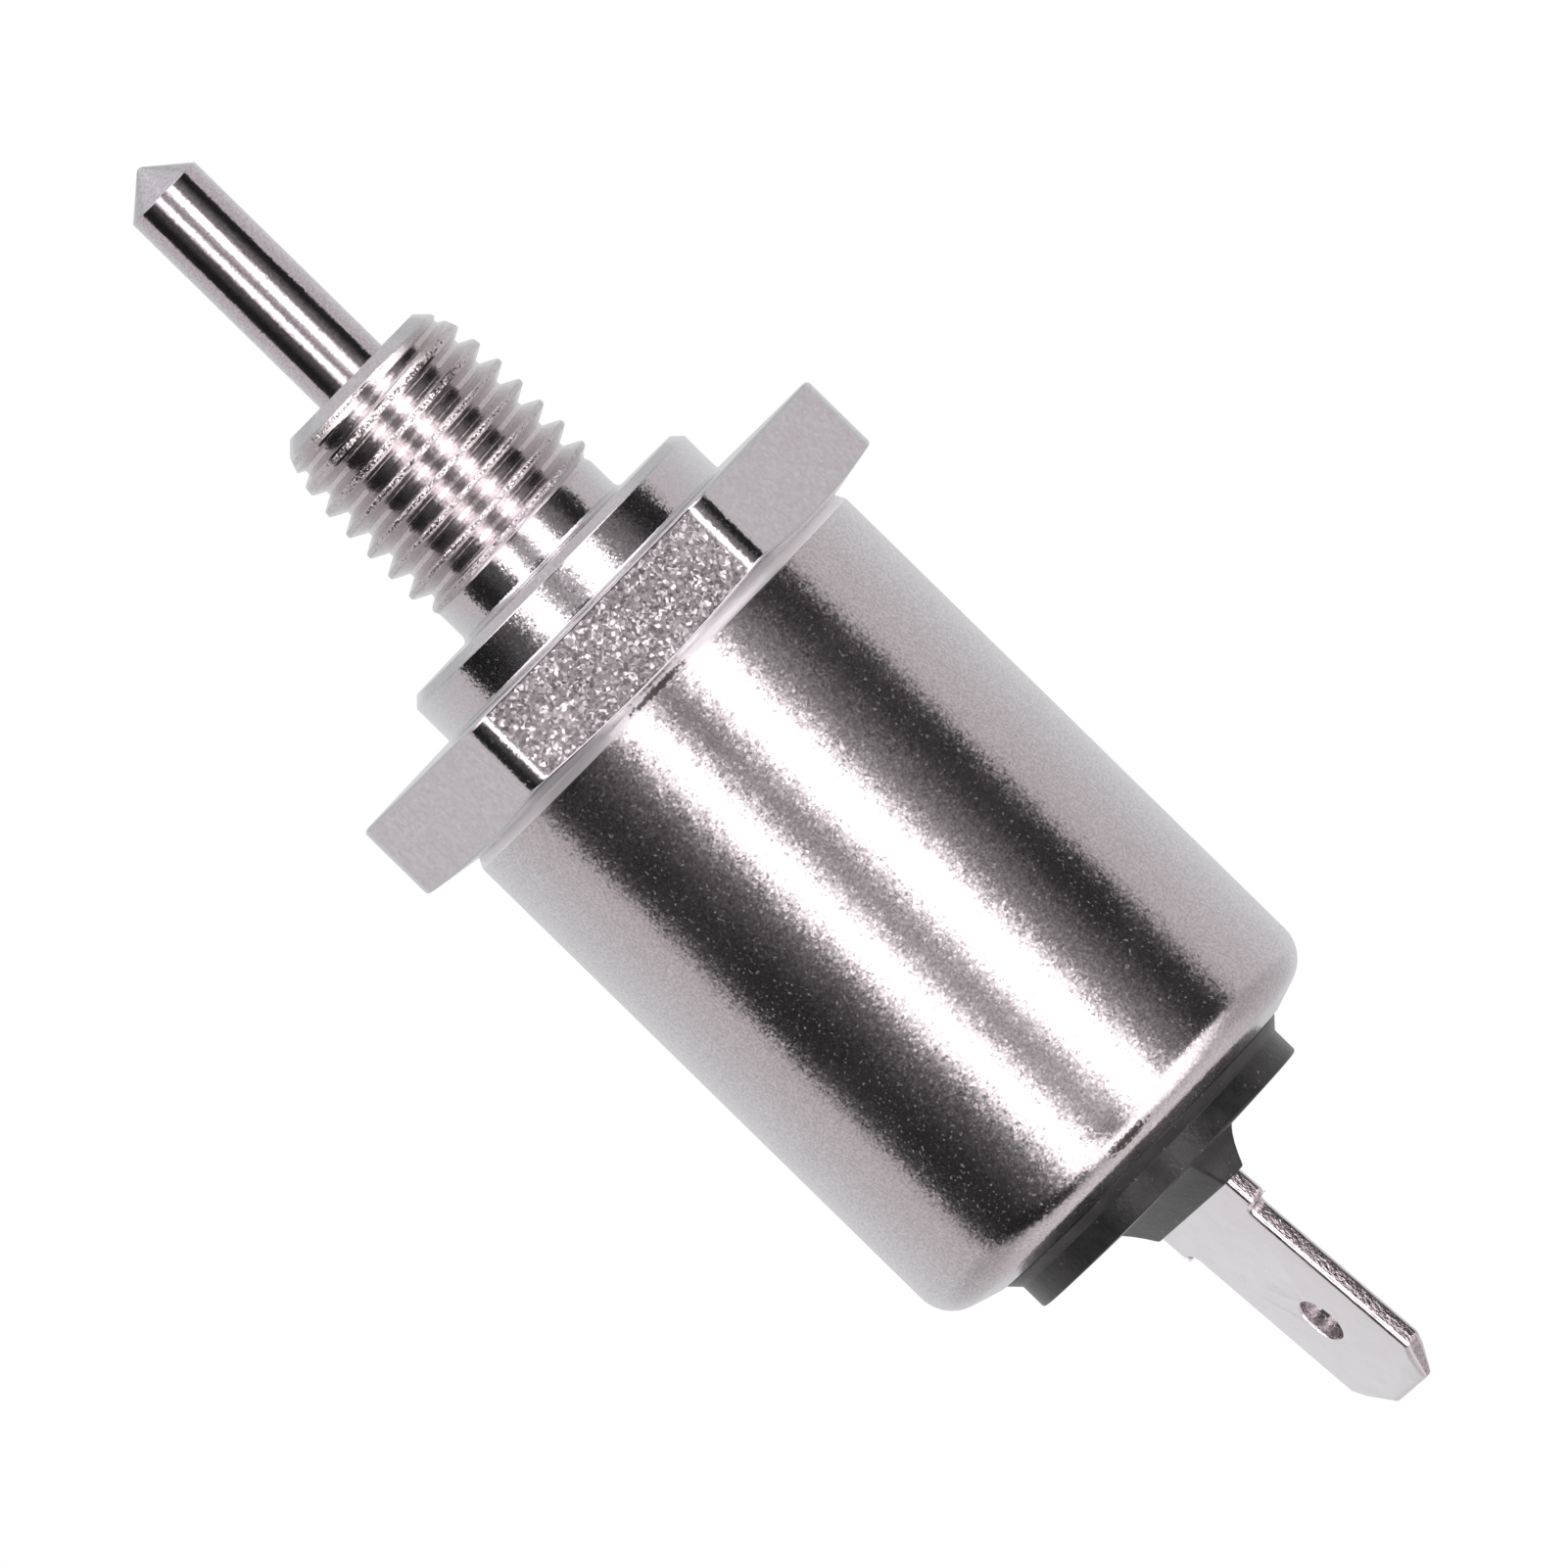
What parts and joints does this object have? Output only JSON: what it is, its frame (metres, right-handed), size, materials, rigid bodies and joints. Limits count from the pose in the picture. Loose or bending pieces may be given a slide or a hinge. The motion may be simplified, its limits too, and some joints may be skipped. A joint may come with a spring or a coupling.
{
  "type": "fuel shutoff solenoid",
  "caption": "Carburettor fuel shutoff solenoid: a threaded hexagon body and plated can hold a coil and a sprung needle pin, fed by a blade terminal.",
  "frame": {"origin": "on the axis, in the face of the collar that seats on the float bowl", "axes": "+Z along the needle pin towards its point, the way the stud screws into the bowl; two hexagon corners lie on the X axis"},
  "size_m": [0.0216, 0.019, 0.0602],
  "materials": {
    "plated_steel": "bright plated, fine grain",
    "plated_can": "bright plated, drawn sheet",
    "polished_steel": "polished",
    "soft_iron": "turned",
    "spring_steel": "drawn wire",
    "brass": "drawn",
    "nylon": "moulded",
    "copper_wire": "enamelled",
    "tape": "polyester film",
    "fibre": "vulcanised fibre",
    "rubber": "moulded",
    "black_plastic": "moulded, satin",
    "tinned_brass": "tin plated, worn at its edges",
    "solder": "bright"
  },
  "bodies": {
    "housing": {"valve_body": "plated_steel", "casing_can": "plated_can", "return_spring": "spring_steel", "guide_tube": "brass", "fixed_core": "soft_iron", "anti_stick_shim": "brass", "bobbin": "nylon", "coil_winding": "copper_wire", "coil_tape": "tape", "rear_flux_plate": "soft_iron", "insulating_washer": "fibre", "front_seal_ring": "rubber", "rear_seal_ring": "rubber", "tail_insulator": "black_plastic", "blade_terminal": "tinned_brass", "live_lead": "copper_wire", "ground_lead": "copper_wire", "live_solder": "solder", "ground_solder": "solder"},
    "plunger": {"needle_pin": "polished_steel", "armature": "soft_iron"}
  },
  "joints": [
    {"name": "plunger_slide", "type": "slide", "parent": "housing", "child": "plunger", "axis": [0, 0, -1], "range_m": [0, 0.0027], "stiffness_N_per_m": 600, "springref_m": -0.004, "deforming": ["return_spring"]}
  ]
}
